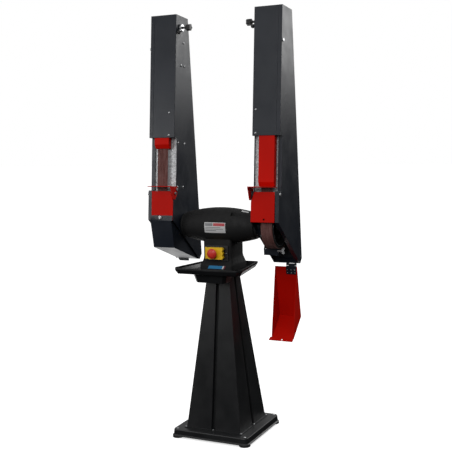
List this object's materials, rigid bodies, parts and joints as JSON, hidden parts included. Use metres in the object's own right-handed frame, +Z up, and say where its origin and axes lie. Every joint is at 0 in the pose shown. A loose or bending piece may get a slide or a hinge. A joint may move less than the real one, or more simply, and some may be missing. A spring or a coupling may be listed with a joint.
{
  "type": "double belt grinder",
  "caption": "Pedestal grinder with long abrasive belt arms on both ends of one motor, guards, tool rests, tray and switch.",
  "frame": {"origin": "on the floor under the middle of the base", "axes": "+Z up, -Y towards the operator, +X to the operator's right along the motor shaft"},
  "size_m": [0.614, 0.36, 1.7901],
  "materials": {
    "coat": "semi-gloss dark grey powder coat",
    "black_coat": "semi-gloss black powder coat",
    "casting": "fine-textured black paint on castings",
    "red_paint": "semi-gloss red powder coat",
    "abrasive": "brown abrasive grit on cloth",
    "zinc": "galvanised sheet with a mottled spangle",
    "steel": "ground steel",
    "chrome": "polished plating",
    "aluminium": "machined and cast aluminium",
    "motor_iron": "laminated iron",
    "black_plastic": "moulded black plastic",
    "rubber": "black rubber",
    "yellow_plastic": "moulded yellow plastic",
    "red_plastic": "moulded red plastic",
    "green_plastic": "moulded green plastic"
  },
  "bodies": {
    "stand": {"base_plate": "black_coat", "front_left_foot": "rubber", "rear_left_foot": "rubber", "front_right_foot": "rubber", "rear_right_foot": "rubber", "pedestal": "black_coat", "tray": "black_coat", "neck": "casting", "cable_gland": "black_plastic", "motor_housing": "casting", "stator": "motor_iron", "left_end_bell": "casting", "right_end_bell": "casting", "left_bearing": "steel", "right_bearing": "steel", "switch_body": "black_plastic"},
    "drive": {"motor_shaft": "steel", "rotor": "motor_iron", "left_contact_wheel": "aluminium", "right_contact_wheel": "aluminium"},
    "flap": {"switch_flap": "yellow_plastic"},
    "stop_mushroom": {"emergency_stop": "red_plastic"},
    "stop_key": {"stop_button": "red_plastic"},
    "start_key": {"start_button": "green_plastic"},
    "left_arm": {"left_side_frame": "coat", "left_outer_cover": "coat", "left_front_cover": "coat", "left_back_plate": "zinc", "left_platen": "steel", "left_belt": "abrasive", "left_lower_plate": "red_paint", "left_dust_chute": "coat", "left_hinge_leaf": "zinc"},
    "left_idler_carrier": {"left_idler_slide": "steel", "left_tension_spring": "steel"},
    "left_idler": {"left_idler_wheel": "aluminium"},
    "left_lever": {"left_tension_lever": "chrome"},
    "left_knob": {"left_tracking_knob": "black_plastic"},
    "left_rest": {"left_tool_rest": "red_paint"},
    "left_guard": {"left_belt_guard": "red_paint"},
    "left_lower_door": {"left_door": "coat"},
    "right_arm": {"right_side_frame": "coat", "right_outer_cover": "coat", "right_front_cover": "coat", "right_back_plate": "zinc", "right_platen": "steel", "right_belt": "abrasive", "right_lower_plate": "red_paint", "right_dust_chute": "coat", "right_hinge_leaf": "zinc"},
    "right_idler_carrier": {"right_idler_slide": "steel", "right_tension_spring": "steel"},
    "right_idler": {"right_idler_wheel": "aluminium"},
    "right_lever": {"right_tension_lever": "chrome"},
    "right_knob": {"right_tracking_knob": "black_plastic"},
    "right_rest": {"right_tool_rest": "red_paint"},
    "right_guard": {"right_belt_guard": "red_paint"},
    "right_lower_door": {"right_door": "red_paint"},
    "left_latch": {"left_latch_knob": "black_plastic"}
  },
  "joints": [
    {"name": "shaft_spin", "type": "hinge", "parent": "stand", "child": "drive", "pos_m": [0, 0, 0.897], "axis": [1, 0, 0], "continuous": true},
    {"name": "left_arm_tilt", "type": "hinge", "parent": "stand", "child": "left_arm", "pos_m": [0, 0, 0.897], "axis": [1, 0, 0], "range_deg": [-80, 5]},
    {"name": "left_idler_tension", "type": "slide", "parent": "left_arm", "child": "left_idler_carrier", "axis": [0, 0.0924, 0.9957], "range_m": [-0.012, 0], "stiffness_N_per_m": 3000, "springref_m": 0.012},
    {"name": "left_idler_spin", "type": "hinge", "parent": "left_idler_carrier", "child": "left_idler", "pos_m": [0, 0.01963, 1.69861], "axis": [1, 0, 0], "continuous": true},
    {"name": "left_lever_turn", "type": "hinge", "parent": "left_arm", "child": "left_lever", "pos_m": [0, 0.00951, 1.73571], "axis": [1, 0, 0], "range_deg": [0, 90]},
    {"name": "left_tracking_turn", "type": "hinge", "parent": "left_arm", "child": "left_knob", "pos_m": [0, 0.00951, 1.73571], "axis": [1, 0, 0], "range_deg": [-180, 180]},
    {"name": "left_rest_slide", "type": "slide", "parent": "left_arm", "child": "left_rest", "axis": [0, 0.9957, -0.0924], "range_m": [-0.012, 0.002]},
    {"name": "left_guard_slide", "type": "slide", "parent": "left_arm", "child": "left_guard", "axis": [0, 0.0924, 0.9957], "range_m": [-0.159, 0]},
    {"name": "left_door_swing", "type": "hinge", "parent": "left_arm", "child": "left_lower_door", "pos_m": [0, 0.13222, 0.72003], "axis": [1, 0, 0], "range_deg": [0, 125]},
    {"name": "right_arm_tilt", "type": "hinge", "parent": "stand", "child": "right_arm", "pos_m": [0, 0, 0.897], "axis": [1, 0, 0], "range_deg": [-80, 5]},
    {"name": "right_idler_tension", "type": "slide", "parent": "right_arm", "child": "right_idler_carrier", "axis": [0, 0.0924, 0.9957], "range_m": [-0.012, 0], "stiffness_N_per_m": 3000, "springref_m": 0.012},
    {"name": "right_idler_spin", "type": "hinge", "parent": "right_idler_carrier", "child": "right_idler", "pos_m": [0, 0.01963, 1.69861], "axis": [1, 0, 0], "continuous": true},
    {"name": "right_lever_turn", "type": "hinge", "parent": "right_arm", "child": "right_lever", "pos_m": [0, 0.00951, 1.73571], "axis": [1, 0, 0], "range_deg": [0, 90]},
    {"name": "right_tracking_turn", "type": "hinge", "parent": "right_arm", "child": "right_knob", "pos_m": [0, 0.00951, 1.73571], "axis": [1, 0, 0], "range_deg": [-180, 180]},
    {"name": "right_rest_slide", "type": "slide", "parent": "right_arm", "child": "right_rest", "axis": [0, 0.9957, -0.0924], "range_m": [-0.012, 0.002]},
    {"name": "right_guard_slide", "type": "slide", "parent": "right_arm", "child": "right_guard", "axis": [0, 0.0924, 0.9957], "range_m": [0, 0.159]},
    {"name": "right_door_swing", "type": "hinge", "parent": "right_arm", "child": "right_lower_door", "pos_m": [0, 0.13222, 0.72003], "axis": [1, 0, 0], "range_deg": [-120, 5]},
    {"name": "left_latch_turn", "type": "hinge", "parent": "left_lower_door", "child": "left_latch", "pos_m": [-0.238, -0.10969, 0.9358], "axis": [0, 0.9957, -0.0924], "range_deg": [0, 90]},
    {"name": "flap_open", "type": "hinge", "parent": "stand", "child": "flap", "pos_m": [-0.047, -0.0667, 0.785], "axis": [0, 0, 1], "range_deg": [-110, 0]},
    {"name": "emergency_push", "type": "slide", "parent": "flap", "child": "stop_mushroom", "axis": [0, 1, 0], "range_m": [0, 0.005], "stiffness_N_per_m": 800, "springref_m": -0.004},
    {"name": "stop_push", "type": "slide", "parent": "stand", "child": "stop_key", "axis": [0, 1, 0], "range_m": [0, 0.004], "stiffness_N_per_m": 400, "springref_m": -0.004},
    {"name": "start_push", "type": "slide", "parent": "stand", "child": "start_key", "axis": [0, 1, 0], "range_m": [0, 0.004], "stiffness_N_per_m": 400, "springref_m": -0.004}
  ],
  "couplings": [
    {"joint": "left_idler_spin", "follows": "shaft_spin", "ratio": 2.5139},
    {"joint": "left_lever_turn", "follows": "left_idler_tension", "rad_per_m": -130.9},
    {"joint": "right_idler_spin", "follows": "shaft_spin", "ratio": 2.5139},
    {"joint": "right_lever_turn", "follows": "right_idler_tension", "rad_per_m": -130.9}
  ]
}
